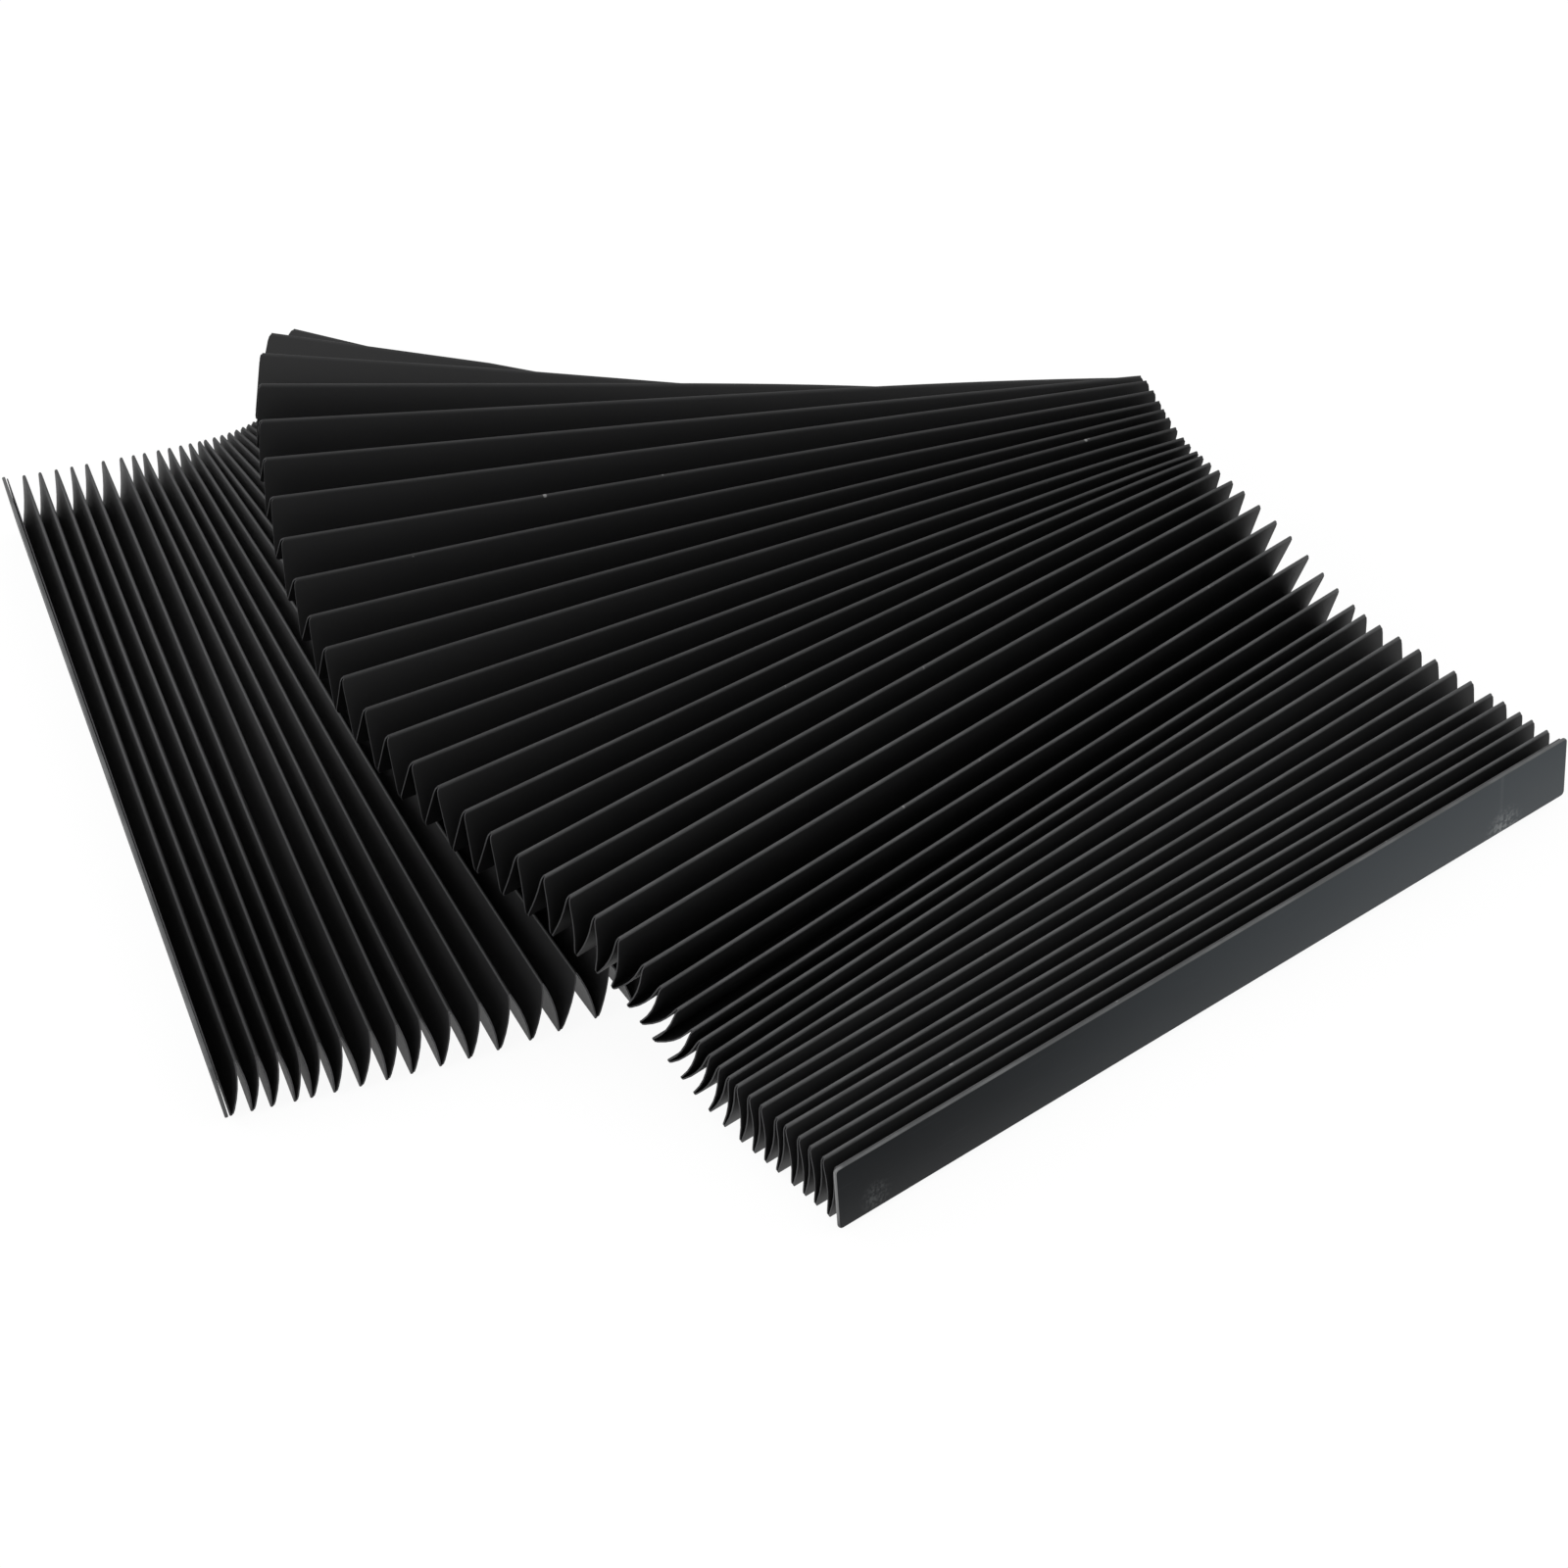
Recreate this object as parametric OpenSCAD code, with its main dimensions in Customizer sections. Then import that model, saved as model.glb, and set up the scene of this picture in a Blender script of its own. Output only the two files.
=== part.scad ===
// Bellows way cover: one pleated sheet with a flat plate on each end, lying in a loop over itself.
// Sizes are in millimetres and degrees. The front plate stands along X, the folds stack back from
// it along Y, and the cover lies on the plane Z = 0.

/* [Pleated sheet] */
// Length of every fold, between the two open sides of the cover
fold_length = 400; // [360:1:410]
// Depth of the folds, from the outside of a ridge to the outside of a valley
fold_depth = 30; // [28:0.5:31]
// Pitch of a pleat, which the way and the bow of the lay are measured in
pleat_pitch = 10; // [10:0.1:11]
// Thickness of the sheet
sheet_t = 0.6; // [0.4:0.05:0.7]
// Clear gap inside each crease
crease_gap = 0.2; // [0.1:0.05:0.3]

/* [Pleats in each stretch] */
// Pleats in the flat run behind the front plate
front_pleats = 10; // [8:1:11]
// Pleats in the climb onto the lower layer
climb_pleats = 10; // [8:1:11]
// Pleats in the fan on top
top_pleats = 14; // [12:1:15]
// Pleats in the roll at the back
roll_pleats = 12; // [11:1:12]
// Pleats in the hidden lower layer
under_pleats = 8; // [6:1:9]
// Pleats in the fan that ends at the rear plate
rear_pleats = 14; // [12:1:16]

/* [End plates] */
// How far an end plate stands past the end panel, at both sides and at the top
plate_over = 1; // [0:0.5:3]
// Thickness of an end plate
plate_t = 1.5; // [1:0.1:3]
// Radius of the corners of an end plate
plate_r = 2; // [1:0.5:5]
// Height of an end plate's lower edge above the foot of the end panel
plate_foot = 0.5; // [0.3:0.1:1]
// Glue line between an end plate and the end panel
glue_t = 0.1; // [0.1:0.05:0.3]
// How far the top of the rear plate leans out, past an even pleat
rear_lean = 0.5; // [0:0.5:3]

/* [Hidden] */
sheet_colour = [0.07, 0.07, 0.075];
plate_colour = [0.21, 0.23, 0.27];

// The lay of the sheet. Each row says how the cover lies at one place: the way on for each pleat in
// pitches, below zero where the cover runs back under itself, the turn of the folds clockwise and the
// drift of the way from square to them in degrees, the height above a flat run in fold depths, the
// dip of the right ends in degrees and the bow of the panels in pitches. The rows of a stretch are
// evenly spaced along its pleats, and each stretch goes on from the row before it.
front_lay = [
    [0.7, 0, 0, 0, 0, 0.1],
    [0.8, -0.5, -2, 0, 0, 0.1],
    [0.9, -2.5, -2, 0.05, 0.5, 0.15]];
climb_lay = [
    [0.85, -4, -2, 0.2, 1.5, 0.25],
    [0.85, -5, -2, 0.55, 2, 0.3],
    [1, -5, -3, 0.95, 2, 0.25],
    [1.1, -3.5, -5, 1.2, 1.5, 0.1]];
top_lay = [
    [1.1, 1, -4, 1.4, 1, 0.1],
    [1.2, 8.5, -2, 1.5, 0.5, 0.1],
    [1.35, 16.5, 1, 1.65, 0.5, 0.1],
    [1.45, 25, 1, 1.9, 3, 0.05]];
roll_lay = [
    [1.35, 28, 2, 1.9, 5, 0],
    [1.05, 32, 0, 1.65, 8, 0],
    [0.4, 42, 0, 1.1, 9, 0],
    [-1.5, 58, 0, 0.4, 5, 0],
    [-2.7, 66, 0, 0, 1, 0],
    [-2, 72, 0, 0, 0, 0],
    [-1.55, 77, 0, 0, 0, 0],
    [-1.4, 82, 0, 0, 0, 0]];
under_lay = [
    [-1.2, 93, 1, 0, 0, 0.05],
    [-0.95, 101, 2, 0, 0, 0.1]];
rear_lay = [
    [-0.85, 108, 2, 0, 0, 0.1],
    [-0.75, 109.5, 2, 0, 0, 0.1]];

lays = [front_lay, climb_lay, top_lay, roll_lay, under_lay, rear_lay];
counts = [for (c = [front_pleats, climb_pleats, top_pleats, roll_pleats, under_pleats, rear_pleats])
    round(c)];
function total(list, n) = n == 0 ? 0 : list[n - 1] + total(list, n - 1);
function unit(a) = a / norm(a);

// Stations: the pleat number and the row at every row of every stretch
stations = [for (s = [0 : len(lays) - 1]) let (lead = s == 0 ? 0 : 1, lay = lays[s])
    for (i = [0 : len(lay) - 1])
        [total(counts, s) + counts[s] * (i + lead) / (len(lay) - 1 + lead), lay[i]]];
end_station = len(stations) - 1;
function span(k) = stations[k + 1][0] - stations[k][0];
function change(k) = (stations[k + 1][1] - stations[k][1]) / span(k);
slopes = [for (k = [0 : end_station])
    k == 0 ? change(0) : k == end_station ? change(k - 1)
    : (change(k - 1) * span(k) + change(k) * span(k - 1)) / (span(k - 1) + span(k))];

// Row at any pleat number, on a smooth curve through the stations
function row_at(v) =
    let (k = max([for (i = [0 : end_station - 1]) if (i == 0 || stations[i][0] <= v) i]),
        s = (v - stations[k][0]) / span(k))
    (1 - 3 * s^2 + 2 * s^3) * stations[k][1] + (s - 2 * s^2 + s^3) * span(k) * slopes[k]
    + (3 * s^2 - 2 * s^3) * stations[k + 1][1] + (s^3 - s^2) * span(k) * slopes[k + 1];

// Two folds to a pleat: even ones are valleys and odd ones ridges, counted from the front plate. In
// plan, the middle of each fold is half a pleat's way on from the one before.
end_fold = 2 * total(counts, len(counts));
rows = [for (j = [0 : end_fold]) row_at(j / 2)];
function way_on(j) = let (r = row_at((j + 0.5) / 2))
    pleat_pitch * r[0] / 2 * [sin(r[1] + r[2]), cos(r[1] + r[2])];
plan = [for (j = 0, p = [0, 0]; j <= end_fold; p = p + way_on(j), j = j + 1) p];
middles = [for (j = [0 : end_fold]) [plan[j][0], plan[j][1], (rows[j][3] + 0.5) * fold_depth]];
along = [for (r = rows) [cos(r[1]) * cos(r[4]), -sin(r[1]) * cos(r[4]), -sin(r[4])]];

// Lanes across the cover, from its left open side at -1 to its right one at 1. The folds of a lane
// stand on a line through their middles, and a run is the way from one fold to the next on it.
lanes = [-1, -0.5, 0, 0.4, 1];
panel_h = fold_depth - sheet_t;
function line(lane) = [for (j = [0 : end_fold]) middles[j] + lane * fold_length / 2 * along[j]];
function runs(e) = [for (j = [0 : end_fold]) let (a = max(j - 1, 0), b = min(j + 1, end_fold))
    (e[b] - e[a]) / (b - a)];
function reach(run) = sqrt(panel_h^2 - run^2);
function up(j, run) = unit(cross(along[j], run));
function even_fold(e, t, j) = e[j] + (j % 2 == 1 ? 0.5 : -0.5) * reach(norm(t[j])) * up(j, t[j]);
function last_fold(e, t) = let (j = end_fold, out = norm(t[j]) + rear_lean)
    even_fold(e, t, j - 1) + out * unit(t[j]) - reach(out) * up(j, t[j]);
function folds(e, t) = [for (j = [0 : end_fold]) j == end_fold ? last_fold(e, t) : even_fold(e, t, j)];

// Middle of the sheet along one lane: four points to a panel, from crease to crease, with the end
// panels flat and the others bowed towards the front plate
crest_w = sheet_t + crease_gap;
function crest(f, j) = j == 0 || j == end_fold ? [0, 0, 0]
    : crest_w / 2 * unit(unit(f[j + 1] - f[j]) - unit(f[j - 1] - f[j]));
function bow(j) = j == 0 || j == end_fold - 1 ? 0
    : 8 / 9 * pleat_pitch * (rows[j][5] + rows[j + 1][5]) / 2;
function middle_line(f, t) = [for (j = [0 : end_fold - 1], i = [0 : 3])
    let (a = f[j] + crest(f, j), b = f[j + 1] - crest(f, j + 1))
    a + i / 3 * (b - a) - (i % 3 == 0 ? 0 : bow(j)) * unit(t[j] + t[j + 1])];

sheet = [for (lane = lanes) let (e = line(lane), t = runs(e)) middle_line(folds(e, t), t)];
left = sheet[0];
right = sheet[len(lanes) - 1];

// Half the sheet's thickness at each point, square to the sheet and mitred where it bends
points = len(left);
across = [for (i = [0 : points - 1]) unit(right[i] - left[i])];
function half_t(p, i) =
    let (n = [for (k = [max(i - 1, 0), min(i, points - 2)]) unit(cross(across[i], p[k + 1] - p[k]))])
    sheet_t / 2 * (n[0] + n[1]) / (1 + n[0] * n[1]);
skin = [for (i = [0 : points - 1], p = sheet) let (h = half_t(p, i)) each [p[i] + h, p[i] - h]];
ring = 2 * len(lanes);
function turned(i) = floor(i / 4) % 2 == 1;
function strip(a, b, turned) = turned
    ? [[a, b, a + 2], [b, b + 2, a + 2], [a + 1, a + 3, b + 1], [a + 3, b + 3, b + 1]]
    : [[a, b, b + 2], [a, b + 2, a + 2], [a + 1, a + 3, b + 3], [a + 1, b + 3, b + 1]];
function rim(a, b, c, d) = [[a, b, c], [a, c, d]];
skin_faces = [
    for (i = [0 : points - 2], k = [0 : len(lanes) - 2])
        each strip(i * ring + 2 * k, (i + 1) * ring + 2 * k, turned(i)),
    for (i = [0 : points - 2]) let (a = i * ring, b = a + ring, c = b + ring - 2) each concat(
        rim(a, a + 1, b + 1, b), rim(b - 2, c, c + 1, b - 1)),
    for (k = [0 : len(lanes) - 2]) let (a = 2 * k, b = (points - 1) * ring + a) each concat(
        rim(a, a + 2, a + 3, a + 1), rim(b, b + 1, b + 3, b + 2))];

// Seat of an end plate on an end panel: its foot, the way it runs, the way up, the way out
function seat(i, k) =
    let (ends = [left[i], right[i], left[k], right[k]],
        foot = (ends[0] + ends[1]) / 2, x = unit(ends[1] - ends[0] + ends[3] - ends[2]),
        stand = (ends[2] + ends[3]) / 2 - foot, y = unit(stand - (stand * x) * x), z = cross(x, y),
        lift = max([for (p = ends) (p - foot) * z]) + sheet_t / 2 + glue_t)
    [foot + lift * z + plate_foot * y, x, y, z];
front_seat = seat(0, 3);
rear_seat = seat(points - 4, points - 1);
plate_w = fold_length + 2 * plate_over;
plate_h = panel_h - plate_foot + plate_over;

// Box of the whole cover, whose bottom centre is the origin
function plate_reach(s, k, way) = [for (x = [-1, 1], y = [plate_r, plate_h - plate_r], z = [0, plate_t])
    s[0][k] + x * (plate_w / 2 - plate_r) * s[1][k] + y * s[2][k] + z * s[3][k]
    + way * plate_r * norm([s[1][k], s[2][k]])];
function reach_of(k, way) = concat([for (p = skin) p[k]],
    plate_reach(front_seat, k, way), plate_reach(rear_seat, k, way));
low = [for (k = [0 : 2]) min(reach_of(k, -1))];
high = [for (k = [0 : 2]) max(reach_of(k, 1))];
origin = [(low[0] + high[0]) / 2, (low[1] + high[1]) / 2, low[2]];

module end_plate(s) {
    translate(-origin) multmatrix([for (k = [0 : 2]) [s[1][k], s[2][k], s[3][k], s[0][k]]])
        linear_extrude(plate_t) {
            translate([plate_r - plate_w / 2, 0]) square([plate_w - 2 * plate_r, plate_h]);
            translate([-plate_w / 2, plate_r]) square([plate_w, plate_h - 2 * plate_r]);
            for (x = [-1, 1], y = [plate_r, plate_h - plate_r])
                translate([x * (plate_w / 2 - plate_r), y]) circle(plate_r, $fn = 48);
        }
}

module pleated_cover() {
    color(sheet_colour) translate(-origin) polyhedron(skin, skin_faces, convexity = 40);
}

module front_end_plate() {
    color(plate_colour) end_plate(front_seat);
}

module rear_end_plate() {
    color(plate_colour) end_plate(rear_seat);
}

pleated_cover();
front_end_plate();
rear_end_plate();
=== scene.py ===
# %% [markdown]
# # A bellows way cover
# A way cover keeps chips off the slideway of a machine. This one is a single long sheet, folded
# into pleats, with a thin plate on each end. It lies loosely on a table: the sheet climbs over its
# own lower layer, rolls over at the back and comes out again on the left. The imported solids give
# the size and the place of everything, and the cells below dress them.

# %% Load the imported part
import math

import bmesh
import bpy
import numpy as np
from mathutils import Matrix, Vector


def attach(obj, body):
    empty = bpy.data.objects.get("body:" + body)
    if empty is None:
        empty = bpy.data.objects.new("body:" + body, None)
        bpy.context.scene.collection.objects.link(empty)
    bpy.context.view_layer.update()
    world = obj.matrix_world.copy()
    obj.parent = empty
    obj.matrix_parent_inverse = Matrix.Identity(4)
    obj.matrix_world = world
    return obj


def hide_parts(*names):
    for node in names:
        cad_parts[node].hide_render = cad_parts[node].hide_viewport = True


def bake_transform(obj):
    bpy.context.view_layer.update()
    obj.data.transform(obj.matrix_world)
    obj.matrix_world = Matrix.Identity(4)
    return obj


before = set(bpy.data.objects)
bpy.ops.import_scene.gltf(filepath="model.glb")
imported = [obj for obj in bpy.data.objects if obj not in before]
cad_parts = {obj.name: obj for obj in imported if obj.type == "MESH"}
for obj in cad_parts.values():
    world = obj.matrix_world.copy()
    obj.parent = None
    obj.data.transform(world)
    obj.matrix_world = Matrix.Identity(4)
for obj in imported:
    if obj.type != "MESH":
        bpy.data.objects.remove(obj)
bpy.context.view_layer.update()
scene = bpy.context.scene
scene.view_settings.view_transform = "Standard"

# %% [markdown]
# ## Camera
# The photograph looks down on the cover from its front left with a long lens. The lens is written
# as a focal length on a 36 mm sensor, and the camera is turned with three plain rotations: the
# heading, the dip and a very small roll, all in degrees but the last.

# %% Camera
camera_lens = bpy.data.cameras.new("camera")
camera_lens.sensor_width = 36
camera_lens.lens = 94.31
camera_lens.shift_x = 0.0029
camera = bpy.data.objects.new("camera", camera_lens)
camera.matrix_world = (
    Matrix.Translation((-0.8179, -1.0966, 1.1622))
    @ Matrix.Rotation(math.radians(-39.23), 4, "Z")
    @ Matrix.Rotation(math.radians(90 - 41.27), 4, "X")
    @ Matrix.Rotation(0.0069, 4, "Z")
)
scene.collection.objects.link(camera)
scene.camera = camera
print("camera at", tuple(round(x, 3) for x in camera.location))

# %% [markdown]
# ## Shader arithmetic
# A finish is mostly arithmetic on masks. Writing it with node calls is hard to read, so one small
# class wraps a socket and gives it Python's operators, and one method makes every other node.


# %% Values and finishes
class Value:
    def __init__(self, finish, socket):
        self.finish, self.socket = finish, socket

    def math(self, operation, *values):
        return self.finish.node("Math", {"operation": operation}, dict(enumerate(values)))

    def __add__(self, other):
        return self.math("ADD", self, other)

    def __sub__(self, other):
        return self.math("SUBTRACT", self, other)

    def __rsub__(self, other):
        return self.math("SUBTRACT", other, self)

    def __mul__(self, other):
        return self.math("MULTIPLY", self, other)

    def __abs__(self):
        return self.math("ABSOLUTE", self)

    __radd__, __rmul__ = __add__, __mul__


class Finish:
    def __init__(self, name):
        self.material = bpy.data.materials.new(name)
        self.material.use_nodes = True
        self.tree = self.material.node_tree
        self.shader = self.tree.nodes["Principled BSDF"]

    def node(self, kind, settings={}, inputs={}, out=0):
        made = self.tree.nodes.new("ShaderNode" + kind)
        for name, value in settings.items():
            setattr(made, name, value)
        for name, value in inputs.items():
            self.join(value, made.inputs[name])
        return Value(self, made.outputs[out])

    def join(self, value, socket):
        if isinstance(value, Value):
            self.tree.links.new(value.socket, socket)
        else:
            socket.default_value = value

    def surface(self, **inputs):
        for name, value in inputs.items():
            self.join(value, self.shader.inputs[name.replace("_", " ")])

    def step(self, value, low, high):
        return self.node("MapRange", {"interpolation_type": "SMOOTHSTEP"},
                         {"Value": value, "From Min": low, "From Max": high})

    def noise(self, place, scale, detail=2.0, roughness=0.5):
        return self.node("TexNoise", {}, {"Vector": place, "Scale": scale, "Detail": detail,
                                          "Roughness": roughness})

    def stretch(self, place, x, y, z):
        return self.node("Mapping", {}, {"Vector": place, "Scale": (x, y, z)})

    def colour(self, share, a, b):
        return self.node("Mix", {"data_type": "RGBA"}, {0: share, 6: a, 7: b}, out=2)

    def bump(self, height, distance, strength=1.0):
        return self.node("Bump", {}, {"Height": height, "Distance": distance, "Strength": strength})


# %% [markdown]
# ## Floor and light
# The photograph has a white ground. The floor is a pale matt sheet, and what the camera sees of it
# is mixed with plain white through Light Path, so that no extra light falls on the cover. The sky
# is white too. A large soft lamp hangs above, and smaller ones stand on the left, behind on the
# left and in front.

# %% Floor
FLOOR_DROP = 0.0003
WHITE_SHARE = 0.93
ground = bmesh.new()
bmesh.ops.create_grid(ground, x_segments=2, y_segments=2, size=4)
bmesh.ops.translate(ground, verts=ground.verts, vec=(0, 0, -FLOOR_DROP))
floor_mesh = bpy.data.meshes.new("floor")
ground.to_mesh(floor_mesh)
ground.free()
floor = bpy.data.objects.new("floor", floor_mesh)
scene.collection.objects.link(floor)

pale = Finish("pale_floor")
pale.surface(Base_Color=(0.9, 0.9, 0.9, 1), Roughness=0.9, Specular_IOR_Level=0.0)
seen = pale.node("LightPath", out="Is Camera Ray") + pale.node("LightPath", out="Is Glossy Ray")
white = pale.node("Emission", {}, {"Color": (1, 1, 1, 1), "Strength": 1.0})
matt = Value(pale, pale.shader.outputs[0])
mixed = pale.node("MixShader", {}, {0: seen * WHITE_SHARE, 1: matt, 2: white})
pale.tree.links.new(mixed.socket, pale.tree.nodes["Material Output"].inputs["Surface"])
floor_mesh.materials.append(pale.material)

# %% Lamps
world = bpy.data.worlds.new("studio")
world.use_nodes = True
sky = world.node_tree.nodes["Background"]
sky.inputs["Color"].default_value = (1, 1, 1, 1)
sky.inputs["Strength"].default_value = 1.0
scene.world = world


def lamp(name, place, aim, size, watts):
    data = bpy.data.lights.new(name, "AREA")
    data.shape, data.size, data.energy = "SQUARE", size, watts
    made = bpy.data.objects.new(name, data)
    made.location = place
    made.rotation_euler = (Vector(aim) - Vector(place)).to_track_quat("-Z", "Y").to_euler()
    scene.collection.objects.link(made)


lamp("top_softbox", (0.3, 0.6, 2.2), (0, 0, 0), 2.0, 5)
lamp("back_softbox", (-1.5, 1.5, 1.2), (0, 0.1, 0), 1.2, 12)
lamp("front_softbox", (1.3, -1.4, 1.3), (0.1, -0.1, 0), 1.0, 4)
lamp("left_softbox", (-1.5, -0.2, 1.5), (-0.2, 0.1, 0), 1.0, 10)
print("floor and lamps made")

# %% [markdown]
# ## The lay of the folds
# On the real cover the folds hold their length and depth, and the whole strip wanders: it runs
# flat, climbs, fans out, rolls over and runs back. Each stretch has a number of pleats and a few
# rows of round numbers: the way on for each pleat in pitches, the turn of the folds and the drift
# of the way in degrees, the height in fold depths, the dip of the right ends in degrees and the
# bow of the panels in pitches. A smooth curve runs through the rows. Lengths are in millimetres.

# %% Lay
FOLD_LENGTH, FOLD_DEPTH, PITCH, SHEET, GAP, LEAN = 400.0, 30.0, 10.0, 0.6, 0.2, 0.5
MM = 0.001
WAY, TURN, DRIFT, HEIGHT, DIP, BOW = range(6)
START = np.array([74.548, -285.811, 1.527])
stretches = [
    (10, [(0.7, 0, 0, 0, 0, 0.1), (0.8, -0.5, -2, 0, 0, 0.1), (0.9, -2.5, -2, 0.05, 0.5, 0.1)]),
    (10, [(0.85, -4, -2, 0.2, 1.5, 0.1), (0.85, -5, -2, 0.55, 2, 0.1), (1, -5, -3, 0.95, 2, 0.1),
          (1.1, -3.5, -5, 1.2, 1.5, 0.05)]),
    (14, [(1.1, 1, -4, 1.4, 1, 0), (1.2, 8.5, -2, 1.5, 0.5, 0), (1.35, 16.5, 1, 1.65, 0.5, 0),
          (1.45, 25, 1, 1.9, 3, 0)]),
    (12, [(1.35, 28, 2, 1.9, 5, 0), (1.05, 32, 0, 1.65, 8, 0), (0.4, 42, 0, 1.1, 9, 0),
          (-1.5, 58, 0, 0.4, 5, 0), (-2.7, 66, 0, 0, 1, 0), (-2, 72, 0, 0, 0, 0),
          (-1.55, 77, 0, 0, 0, 0), (-1.4, 82, 0, 0, 0, 0)]),
    (8, [(-1.2, 93, 1, 0, 0, 0.05), (-0.95, 101, 2, 0, 0, 0.1)]),
    (14, [(-0.85, 108, 2, 0, 0, 0.1), (-0.75, 109.5, 2, 0, 0, 0.1)]),
]
pleat, rows = [], []
done = 0
for count, lay in stretches:
    lead = 1 if rows else 0
    pleat += [done + count * (i + lead) / (len(lay) - 1 + lead) for i in range(len(lay))]
    rows += lay
    done += count
pleat, rows = np.array(pleat), np.array(rows, float)
width = np.diff(pleat)
rise = np.diff(rows, axis=0) / width[:, None]
slope = np.vstack([rise[:1], (rise[:-1] * width[1:, None] + rise[1:] * width[:-1, None])
                   / (width[:-1] + width[1:])[:, None], rise[-1:]])


def row_at(v):
    k = np.clip(np.searchsorted(pleat, v, side="right") - 1, 0, len(width) - 1)
    w = width[k][:, None]
    s = (v[:, None] - pleat[k][:, None]) / w
    return ((1 - 3 * s**2 + 2 * s**3) * rows[k] + (s - 2 * s**2 + s**3) * w * slope[k]
            + (3 * s**2 - 2 * s**3) * rows[k + 1] + (s**3 - s**2) * w * slope[k + 1])


def unit(a):
    return a / np.linalg.norm(a, axis=-1, keepdims=True)


last = 2 * done
fold_rows = row_at(np.arange(last + 1) / 2)
between = row_at((np.arange(last) + 0.5) / 2)
heading = np.radians(between[:, TURN] + between[:, DRIFT])
ways = PITCH * between[:, [WAY]] / 2 * np.stack([np.sin(heading), np.cos(heading)], 1)
plan = np.vstack([[0, 0], np.cumsum(ways, axis=0)])
middle = np.column_stack([plan, (fold_rows[:, HEIGHT] + 0.5) * FOLD_DEPTH])
turn, dip = np.radians(fold_rows[:, TURN]), np.radians(fold_rows[:, DIP])
along = np.stack([np.cos(turn) * np.cos(dip), -np.sin(turn) * np.cos(dip), -np.sin(dip)], 1)
print("folds", last + 1, "in", done, "pleats")

# %% [markdown]
# ## The pleated sheet
# A folded sheet is thin, so the shape to get right is its middle surface. A grid gives the net of
# quads: one way runs from fold to fold, the other across the cover in lanes. Each point of the grid
# is then moved to its place on the folds, with a small round bend at every crease, and a Solidify
# modifier gives the sheet its thickness.
#
# No two folds lie quite alike. Where they are free they shift by half a millimetre or so, by
# chance, and the panels bow more at the ends that lie further left, while the two end panels are
# flat. In the tight part of the roll, where panels nearly touch, the folds run straight between a
# few lanes, as they do in the solid. The corners at the open ends are trimmed a little round, and
# each point keeps its distance to the nearest crease, because that is where the coating wears and
# where the crests are painted lighter as a highlight.

# %% Points of the sheet
LANES = np.linspace(-1, 1, 25)
WIDE_LANES = np.array([-1, -0.5, 0, 0.4, 1])
BENDS = np.radians([180, 135, 90, 45, 0])
PARTS = np.array([0.04, 0.12, 0.31, 0.5, 0.69, 0.88, 0.96])
CORNER, CORNER_REACH = 1.1, 1.6
SHIFT, MOST_SHIFT, SWAY, SWAY_TURN = 0.5, 0.9, 0.4, 2.5
ROLL_FOLDS = (64, 104)
TIGHT_PANELS = (74, 92)
panel = FOLD_DEPTH - SHEET
bend_r = (SHEET + GAP) / 2
number = np.arange(last + 1)
ridge = np.where(number % 2 == 1, 1.0, -1.0)
chance = np.random.default_rng(68)
shift = np.clip(chance.normal(0, SHIFT, last + 1), -MOST_SHIFT, MOST_SHIFT)
phase = chance.uniform(0, 2 * math.pi, last + 1)
off_the_ends = np.clip(np.minimum(number - 1, last - 1 - number) / 3, 0, 1)
free = off_the_ends * ((number < ROLL_FOLDS[0]) | (number > ROLL_FOLDS[1]))


def lane_points(lane):
    line = middle + lane * FOLD_LENGTH / 2 * along
    run = np.gradient(line, axis=0)
    pace = np.linalg.norm(run, axis=1)
    up = unit(np.cross(along, run))
    fold = line + (ridge * np.sqrt(panel**2 - pace**2) / 2)[:, None] * up
    fold += (free * (shift + SWAY * np.sin(phase + SWAY_TURN * lane)))[:, None] * unit(run)
    out = pace[last] + LEAN
    fold[last] = fold[last - 1] + out * unit(run[last]) - math.sqrt(panel**2 - out**2) * up[last]
    points = [fold[0]]
    for j in range(last):
        lean = unit(run[j] + run[j + 1])
        bow = PITCH * (fold_rows[j, BOW] + fold_rows[j + 1, BOW]) / 2
        bow *= 0 if j in (0, last - 1) else 1 - lane * along[j, 0]
        bend = []
        if j + 1 < last:
            back, on = unit(fold[j] - fold[j + 1]), unit(fold[j + 2] - fold[j + 1])
            side, tip = unit(on - back), -unit(on + back)
            centre = fold[j + 1] - bend_r * tip
            bend = [centre + bend_r * (math.cos(a) * side + math.sin(a) * tip) for a in BENDS]
        a, b = points[-1], bend[0] if bend else fold[last]
        points += [a + s * (b - a) - 4 * s * (1 - s) * bow * lean for s in PARTS]
        points += bend or [fold[last]]
    return np.array(points)


def straight_across(points):
    return np.interp(LANES, WIDE_LANES, points)


net = np.stack([lane_points(lane) for lane in LANES], 1)
per_panel = len(PARTS) + len(BENDS)
row_panel = np.array([0] + [j for j in range(last) for i in range(per_panel)])[:len(net)]
tight = (row_panel >= TIGHT_PANELS[0]) & (row_panel <= TIGHT_PANELS[1])
wide = np.stack([lane_points(lane) for lane in WIDE_LANES], 1)
net[tight] = np.apply_along_axis(straight_across, 1, wide[tight])
net = (net + START) * MM
strip = np.concatenate([[0], np.cumsum(np.linalg.norm(np.diff(net, axis=0), axis=2).mean(1))])
row_fold = np.array([0] + [j + 1 if i >= len(PARTS) or PARTS[i] > 0.5 else j
                           for j in range(last) for i in range(per_panel)])[:len(net)]
row_crease_distance = np.concatenate([[0], np.tile(np.concatenate(
    [np.minimum(PARTS, 1 - PARTS) * panel, np.zeros(len(BENDS))]), last)])[:len(net)] * MM
rounded = CORNER * np.clip(1 - row_crease_distance / (CORNER_REACH * MM), 0, 1) * MM
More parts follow.
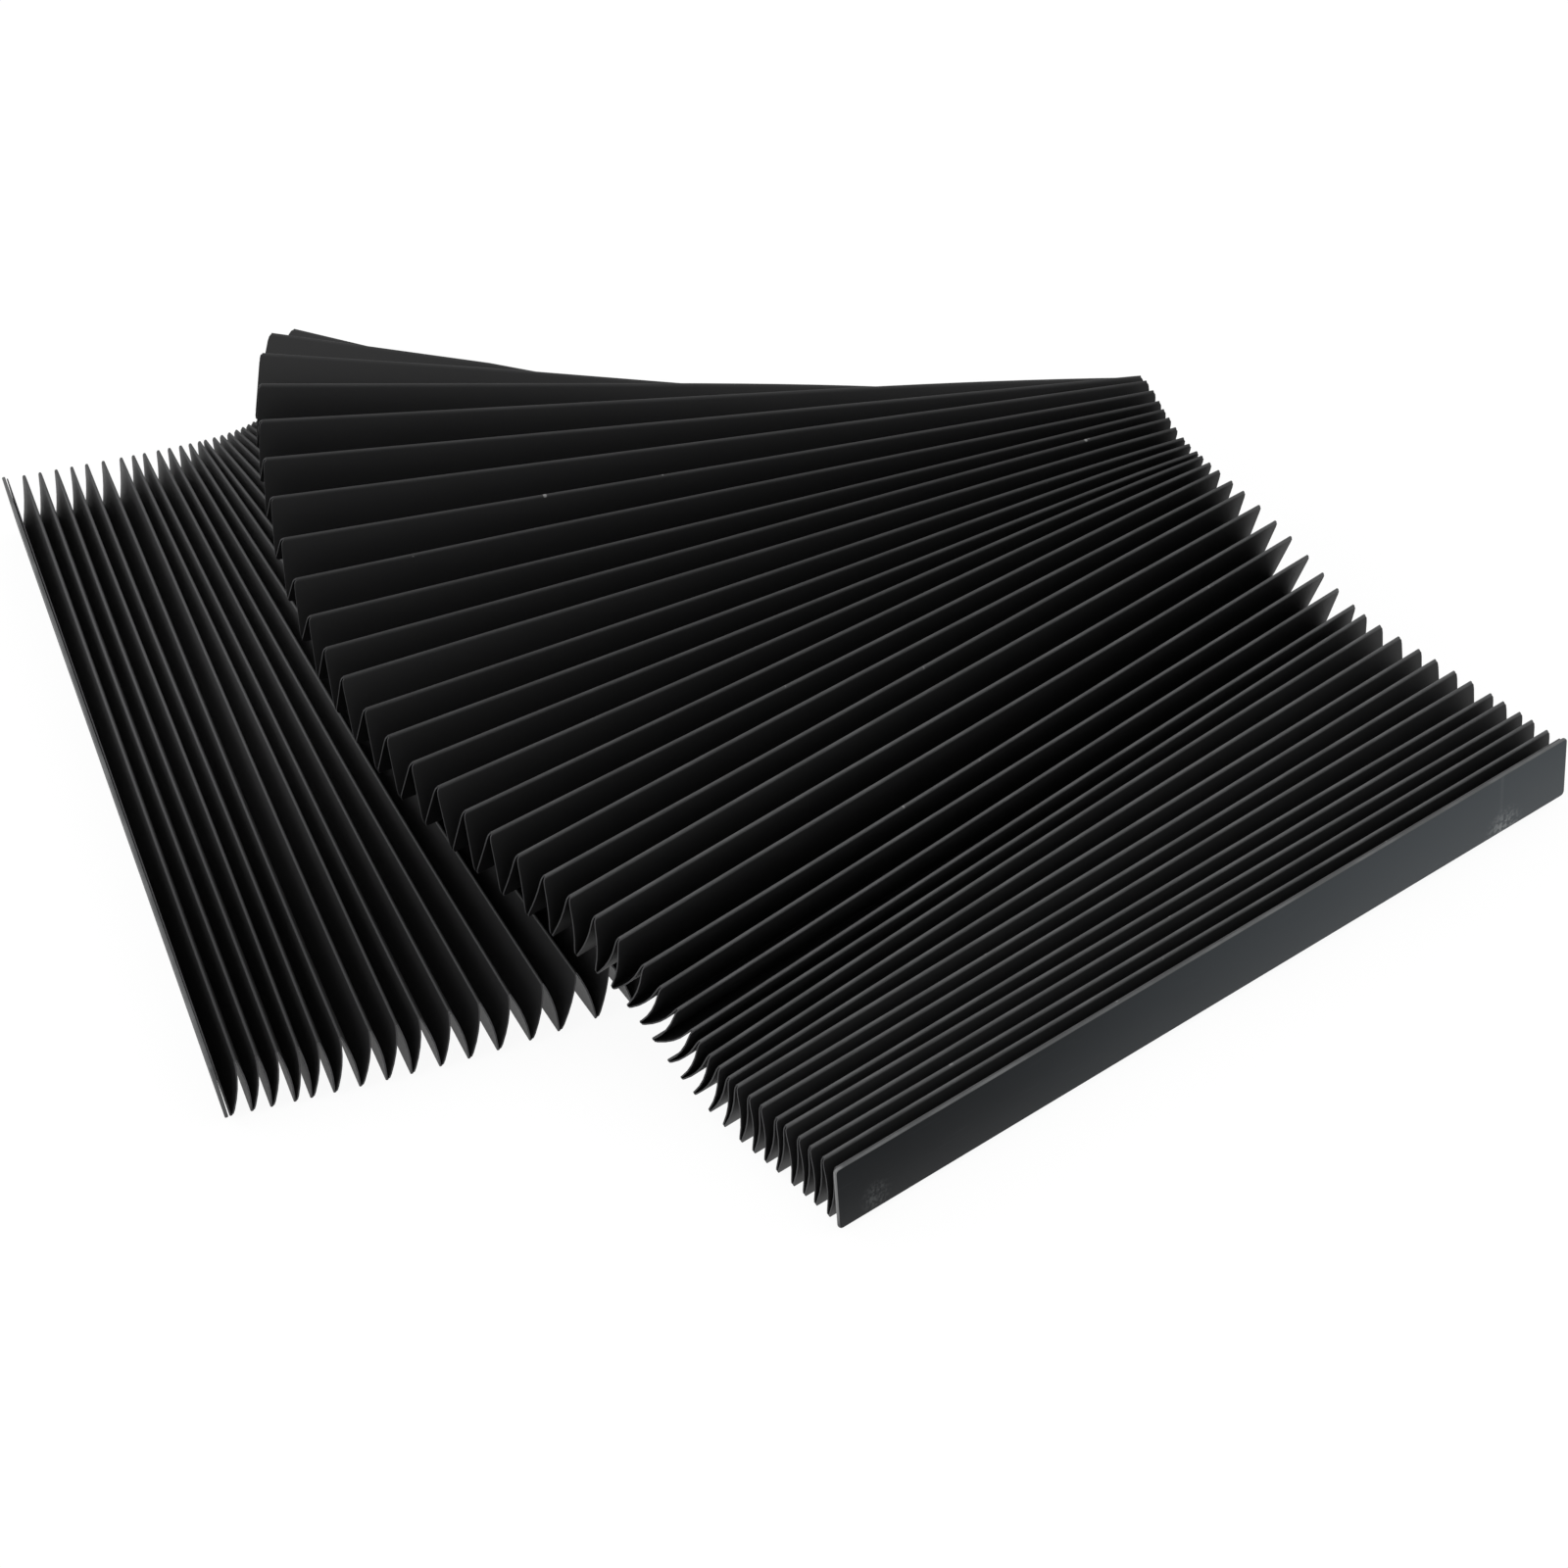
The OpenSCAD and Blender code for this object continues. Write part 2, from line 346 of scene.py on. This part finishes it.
for end, inner in ((0, 1), (-1, -2)):
    net[:, end] += rounded[:, None] * unit(net[:, inner] - net[:, end])
print("rows of points", len(net), "length of the strip", round(strip[-1], 3), "m")

# %% Sheet
grid = bmesh.new()
bmesh.ops.create_grid(grid, x_segments=len(net) - 1, y_segments=len(LANES) - 1, size=1)
crease_distance_layer = grid.verts.layers.float.new("to_crease")
crown = grid.verts.layers.float.new("ridge")
shade = grid.verts.layers.float.new("panel")
cloth_map = grid.loops.layers.uv.new("cloth")
on_cloth = {}
for v in grid.verts:
    i = round((v.co.x + 1) / 2 * (len(net) - 1))
    k = round((v.co.y + 1) / 2 * (len(LANES) - 1))
    v.co = net[i, k]
    v[crease_distance_layer], v[crown], v[shade] = row_crease_distance[i], ridge[row_fold[i]], row_panel[i]
    on_cloth[v] = (LANES[k] * FOLD_LENGTH / 2 * MM, strip[i])
for face in grid.faces:
    face.smooth = True
    for loop in face.loops:
        loop[cloth_map].uv = on_cloth[loop.vert]
sheet_mesh = bpy.data.meshes.new("pleated_sheet")
grid.to_mesh(sheet_mesh)
grid.free()
cover = bpy.data.objects.new("pleated_sheet", sheet_mesh)
scene.collection.objects.link(cover)
thick = cover.modifiers.new("thickness", "SOLIDIFY")
thick.thickness, thick.offset, thick.material_offset_rim = SHEET * MM, 0, 1
print("sheet faces", len(sheet_mesh.polygons))

# %% [markdown]
# ## End plates
# The plates are flat strips with slightly broken edges, and it is that small bevel which catches
# the light in the photograph. A merged copy of each solid is cleaned up to flat faces, its edges
# are bevelled with a bmesh operator, and the narrow faces take the second material.

# %% Plates
BROKEN_EDGE = 0.00045


def plate_piece(name, node, body):
    work = bmesh.new()
    work.from_mesh(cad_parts[node].data)
    bmesh.ops.remove_doubles(work, verts=work.verts, dist=1e-5)
    bmesh.ops.dissolve_limit(work, angle_limit=math.radians(1), verts=work.verts, edges=work.edges)
    sharp = [e for e in work.edges if e.calc_face_angle(0) > math.radians(60)]
    bmesh.ops.bevel(work, geom=sharp, offset=BROKEN_EDGE, offset_type="OFFSET", affect="EDGES",
                    segments=2, profile=0.5, material=-1)
    facing = max(work.faces, key=lambda face: face.calc_area()).normal.copy()
    for face in work.faces:
        face.material_index = 0 if abs(face.normal.dot(facing)) > 0.99 else 1
    mesh = bpy.data.meshes.new(name)
    work.to_mesh(mesh)
    work.free()
    mesh.shade_smooth()
    mesh.set_sharp_from_angle(angle=math.radians(40))
    piece = bpy.data.objects.new(name, mesh)
    scene.collection.objects.link(piece)
    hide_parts(node)
    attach(piece, body)
    return piece


front_plate = plate_piece("front_plate_strip", "front_end_plate", "front_plate")
rear_plate = plate_piece("rear_plate_strip", "rear_end_plate", "cover")
print("plates", len(front_plate.data.polygons), len(rear_plate.data.polygons))

# %% [markdown]
# ## The coated sheet
# The sheet is a black coated cloth with a dull satin face. It is very dark, greyer along the ridge
# crests, partly wear where the coating is stretched over a crease and partly a painted highlight
# where the crests catch the light, with fine grain all over and a few pale rubbed spots on the
# ridges. The climb and the fan on top are painted darkest, and their crests are painted paler by
# less: painted shade for the light they miss. The part that lies underneath and runs out to the
# rear plate is a little dusty, mostly at its far ends, and its dust colour is raised further as a
# painted fill light that lifts its shaded faces. The masks for these parts count the panels from
# the front plate.

# %% Sheet finish
black = Finish("black_coated_sheet")
cloth = black.node("UVMap", {"uv_map": "cloth"})
to_crease = black.node("Attribute", {"attribute_name": "to_crease"}, out=2)
crown_up = black.node("Attribute", {"attribute_name": "ridge"}, out=2)
panel_no = black.node("Attribute", {"attribute_name": "panel"}, out=2)
grain = black.noise(cloth, 2600, 3.0, 0.6)
clouds = black.noise(black.stretch(cloth, 1, 3, 1), 14, 3.0)
streaks = black.noise(black.stretch(cloth, 40, 400, 1), 1.0, 4.0, 0.7)
crease = (1 - black.step(to_crease, 0.0, 0.0009)) * black.step(crown_up, -0.2, 0.2)
dust_and_fill_light = black.step(panel_no, 84, 104)
near_end = black.step(black.node("SeparateXYZ", {}, {0: cloth}, out="X"), -0.05, 0.15)
# on_top weakens the painted crest highlight on the climb and the top fan: painted shade.
on_top = black.step(panel_no, 22, 66) * (1 - black.step(panel_no, 80, 100))
wear_and_highlight = crease * (0.6 + 0.4 * black.step(streaks, 0.35, 0.7))
wear_and_highlight = wear_and_highlight * (1 - 0.85 * on_top) * (0.7 + 0.55 * dust_and_fill_light)
spots = black.noise(black.stretch(cloth, 150, 150, 1), 1.0, 2.0, 0.6)
rubbed = crease * black.step(spots, 0.72, 0.78)
fan = black.step(panel_no, 18, 40) * (1 - black.step(panel_no, 58, 66))
tone = black.colour(clouds, (0.0048, 0.0048, 0.0051, 1), (0.0075, 0.0075, 0.0079, 1))
# Painted shade: the climb and the top fan are painted darker for the light they miss.
tone = black.colour(fan * 0.8, tone, (0.002, 0.002, 0.0022, 1))
# Dust on the lower run, with its colour raised further as a painted fill light that lifts the
# shaded faces.
tone = black.colour(dust_and_fill_light * (1 - 0.8 * near_end), tone, (0.042, 0.042, 0.043, 1))
# The ridge crests are painted a paler grey: partly wear, partly a painted highlight where the
# crests catch the light.
tone = black.colour(wear_and_highlight, tone, (0.098, 0.099, 0.101, 1))
tone = black.colour(rubbed * 0.8, tone, (0.2, 0.2, 0.2, 1))
black.surface(Base_Color=tone, Roughness=0.5 + 0.1 * grain - 0.08 * wear_and_highlight,
              Normal=black.bump(grain * 0.7 + clouds * 0.3, 0.00008, 0.6), Specular_IOR_Level=0.3)
sheet_mesh.materials.append(black.material)

# %% Cut edge finish
cut = Finish("cut_sheet_edge")
fibres = cut.noise(cut.node("TexCoord", out="Object"), 1800, 3.0, 0.7)
cut.surface(Base_Color=cut.colour(fibres, (0.012, 0.012, 0.013, 1), (0.035, 0.035, 0.037, 1)),
            Roughness=0.75)
sheet_mesh.materials.append(cut.material)

# %% [markdown]
# ## The plates' finish
# The plates are smooth and a little bluer than the sheet. The front one is paler towards its right
# end, a painted reflection of the satin sheen, with a kink rubbed bright low down and a faint scuff
# at the other end. The broken edges are painted a paler grey on their upper part, partly rubbed
# wear and partly a painted highlight where the top edge catches the light, and a painted highlight
# brightens the front plate's left end.

# %% Plate finish
KINK_X, PLATE_LEFT_X = 0.236, -0.1255
satin = Finish("satin_plate")
spot = satin.node("TexCoord", out="Object")
mist = satin.noise(satin.stretch(spot, 6, 6, 20), 1.0, 4.0, 0.6)
fine = satin.noise(spot, 1500, 2.0)
hairs = satin.noise(satin.stretch(spot, 30, 30, 900), 1.0, 3.0, 0.7)
specks = satin.noise(spot, 650, 3.0, 0.65)
sideways = satin.node("SeparateXYZ", {}, {0: spot}, out="X")


def scuff(place, size):
    away = satin.node("VectorMath", {"operation": "DISTANCE"}, {0: spot, 1: place}, out="Value")
    return (1 - satin.step(away, 0.2 * size, size)) * satin.step(specks, 0.42, 0.62)


# Painted reflection: the front plate is painted paler towards its right end, standing in for the
# satin sheen.
painted_sheen = satin.step(sideways + 0.08 * mist, -0.09, 0.3)
kink = 1 - satin.step(abs(sideways - KINK_X), 0.0, 0.0015)
rubs = 0.5 * scuff((0.238, -0.288, 0.004), 0.013) + 0.16 * scuff((-0.108, -0.288, 0.009), 0.009)
skin = satin.colour(painted_sheen, (0.003, 0.004, 0.005, 1), (0.034, 0.04, 0.0445, 1))
skin = satin.colour(satin.step(hairs, 0.62, 0.75) * 0.1, skin, (0.07, 0.075, 0.08, 1))
skin = satin.colour(rubs + kink * 0.12 * specks, skin, (0.22, 0.23, 0.23, 1))
satin.surface(Base_Color=skin, Roughness=0.36 + 0.14 * mist,
              Normal=satin.bump(fine, 0.00002, 0.3), Specular_IOR_Level=0.12)

# %% Plate edge finish
edge = Finish("plate_edge_wear_and_highlight")
brim = edge.node("TexCoord", out="Object")
# The upper part of the broken edges is painted paler: partly rubbed wear, partly a painted
# highlight where the top edge catches the light.
high = edge.step(edge.node("SeparateXYZ", {}, {0: brim}, out="Z"), 0.002, 0.012)
rubbed_and_highlit = high * (0.4 + 0.6 * edge.step(edge.noise(brim, 45, 3.0), 0.4, 0.7))
brim_x = edge.node("SeparateXYZ", {}, {0: brim}, out="X")
# Painted highlight on the broken edge at the front plate's left end.
left_end_highlight = 1 - edge.step(abs(brim_x - PLATE_LEFT_X), 0.001, 0.004)
rim = edge.colour(rubbed_and_highlit, (0.012, 0.013, 0.014, 1), (0.068, 0.07, 0.071, 1))
rim = edge.colour(left_end_highlight * high * 0.8, rim, (0.13, 0.132, 0.133, 1))
edge.surface(Base_Color=rim, Roughness=0.45)
for piece in (front_plate, rear_plate):
    piece.data.materials.append(satin.material)
    piece.data.materials.append(edge.material)

# %% [markdown]
# ## Applying the thickness
# The Solidify modifier is applied to the sheet for good, its edges sharper than 60 degrees are
# marked sharp, the imported cover is hidden and the sheet's placement is baked into its points.

# %% Thickness and placement
shown = cover.evaluated_get(bpy.context.evaluated_depsgraph_get())
solid_mesh = bpy.data.meshes.new_from_object(shown)
cover.modifiers.clear()
cover.data = solid_mesh
solid_mesh.set_sharp_from_angle(angle=math.radians(60))
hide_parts("pleated_cover")
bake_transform(cover)
